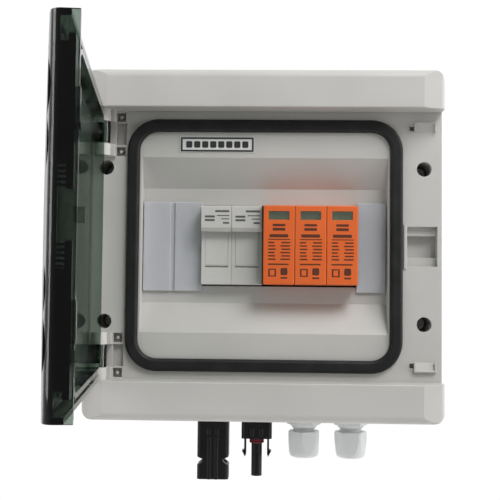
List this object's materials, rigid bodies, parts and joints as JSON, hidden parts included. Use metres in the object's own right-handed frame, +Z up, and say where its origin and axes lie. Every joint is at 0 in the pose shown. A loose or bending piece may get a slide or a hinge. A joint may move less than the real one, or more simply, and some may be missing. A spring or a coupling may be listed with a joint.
{
  "type": "dc combiner box",
  "caption": "Wall box with a tinted hinged door, rubber door seal, DIN rail with fuse holders and plug-in surge protectors, panel connectors and cable glands underneath.",
  "frame": {"origin": "centre of the enclosure's back face, on the wall", "axes": "+Z up, +X to the right seen from the front, -Y out of the front"},
  "size_m": [0.201, 0.2764, 0.2404],
  "materials": {
    "box_plastic": "fine satin moulding texture, light warm grey",
    "seal_rubber": "black, matt",
    "screw_steel": "zinc plated",
    "pin_steel": "bright",
    "label": "white printed label",
    "smoky_plastic": "transparent, smoky green-grey, polished",
    "rail_steel": "zinc plated",
    "milky_plastic": "milky, slightly translucent",
    "copper": "copper",
    "black_plastic": "black, fine texture",
    "connector_plastic": "black, satin",
    "tinned_metal": "tin plated",
    "red_rubber": "dark red",
    "gland_plastic": "light grey, satin",
    "wire_red": "red insulation",
    "wire_black": "black insulation",
    "fuse_ceramic": "white ceramic",
    "white_plastic": "off-white, satin",
    "clip_plastic": "grey",
    "orange_plastic": "orange, satin",
    "varistor_coating": "blue epoxy",
    "clear_window": "clear, slightly green",
    "flag_green": "dark green"
  },
  "bodies": {
    "box": {"base_tray": "box_plastic", "blanking_plate_left": "milky_plastic", "blanking_plate_right": "milky_plastic", "cable_negative": "wire_black", "cable_positive": "wire_red", "connector_lock_nuts": "connector_plastic", "cover_gasket": "seal_rubber", "cover_screws": "screw_steel", "din_rail": "rail_steel", "door_seal": "seal_rubber", "front_cover": "box_plastic", "fuse_clips": "copper", "fuse_holder_left": "white_plastic", "fuse_holder_right": "white_plastic", "fuse_terminal_screws": "screw_steel", "gland_bodies": "gland_plastic", "gland_inserts": "seal_rubber", "gland_lock_nuts": "gland_plastic", "gland_washers": "seal_rubber", "hinge_pins": "pin_steel", "link_negative": "wire_black", "link_positive": "wire_red", "minus_connector_body": "connector_plastic", "minus_connector_seal": "red_rubber", "minus_connector_socket": "tinned_metal", "plus_connector_body": "connector_plastic", "plus_connector_pin": "tinned_metal", "rail_screws": "screw_steel", "spd_base": "black_plastic", "spd_sockets": "copper", "spd_terminal_screws": "screw_steel", "way_label": "label"},
    "door": {"door_panel": "smoky_plastic"},
    "carrier_left": {"fuse_carrier_left": "white_plastic", "fuse_tube_left": "fuse_ceramic", "fuse_caps_left": "tinned_metal"},
    "carrier_right": {"fuse_carrier_right": "white_plastic", "fuse_tube_right": "fuse_ceramic", "fuse_caps_right": "tinned_metal"},
    "rail_clip_left": {"fuse_rail_clip_left": "clip_plastic"},
    "rail_clip_right": {"fuse_rail_clip_right": "clip_plastic"},
    "rail_clip_surge": {"spd_rail_clip": "clip_plastic"},
    "nut_left": {"gland_nut_left": "gland_plastic"},
    "nut_right": {"gland_nut_right": "gland_plastic"},
    "cartridge_1": {"spd_cartridge_1": "orange_plastic", "spd_blades_1": "copper", "spd_varistor_1": "varistor_coating", "spd_window_1": "clear_window"},
    "flag_1": {"spd_flag_1": "flag_green"},
    "cartridge_2": {"spd_cartridge_2": "orange_plastic", "spd_blades_2": "copper", "spd_varistor_2": "varistor_coating", "spd_window_2": "clear_window"},
    "flag_2": {"spd_flag_2": "flag_green"},
    "cartridge_3": {"spd_cartridge_3": "orange_plastic", "spd_blades_3": "copper", "spd_varistor_3": "varistor_coating", "spd_window_3": "clear_window"},
    "flag_3": {"spd_flag_3": "flag_green"}
  },
  "joints": [
    {"name": "door_hinge", "type": "hinge", "parent": "box", "child": "door", "pos_m": [-0.092, -0.0855, 0], "axis": [0, 0, -1], "range_deg": [-83, 17]},
    {"name": "carrier_left_swing", "type": "hinge", "parent": "box", "child": "carrier_left", "pos_m": [-0.02715, -0.0757, -0.0106], "axis": [1, 0, 0], "range_deg": [0, 80]},
    {"name": "carrier_right_swing", "type": "hinge", "parent": "box", "child": "carrier_right", "pos_m": [-0.00975, -0.0757, -0.0106], "axis": [1, 0, 0], "range_deg": [0, 80]},
    {"name": "cartridge_1_plug", "type": "slide", "parent": "box", "child": "cartridge_1", "axis": [0, -1, 0], "range_m": [0, 0.04]},
    {"name": "flag_1_drop", "type": "slide", "parent": "cartridge_1", "child": "flag_1", "axis": [0, 0, -1], "range_m": [0, 0.0065]},
    {"name": "cartridge_2_plug", "type": "slide", "parent": "box", "child": "cartridge_2", "axis": [0, -1, 0], "range_m": [0, 0.04]},
    {"name": "flag_2_drop", "type": "slide", "parent": "cartridge_2", "child": "flag_2", "axis": [0, 0, -1], "range_m": [0, 0.0065]},
    {"name": "cartridge_3_plug", "type": "slide", "parent": "box", "child": "cartridge_3", "axis": [0, -1, 0], "range_m": [0, 0.04]},
    {"name": "flag_3_drop", "type": "slide", "parent": "cartridge_3", "child": "flag_3", "axis": [0, 0, -1], "range_m": [0, 0.0065]},
    {"name": "rail_clip_left_release", "type": "slide", "parent": "box", "child": "rail_clip_left", "axis": [0, 0, -1], "range_m": [0, 0.004]},
    {"name": "rail_clip_right_release", "type": "slide", "parent": "box", "child": "rail_clip_right", "axis": [0, 0, -1], "range_m": [0, 0.004]},
    {"name": "rail_clip_surge_release", "type": "slide", "parent": "box", "child": "rail_clip_surge", "axis": [0, 0, -1], "range_m": [0, 0.004]},
    {"name": "nut_left_turn", "type": "hinge", "parent": "box", "child": "nut_left", "pos_m": [0.025, -0.023, -0.12], "axis": [0, 0, 1], "continuous": true},
    {"name": "nut_right_turn", "type": "hinge", "parent": "box", "child": "nut_right", "pos_m": [0.054, -0.023, -0.12], "axis": [0, 0, 1], "continuous": true}
  ]
}
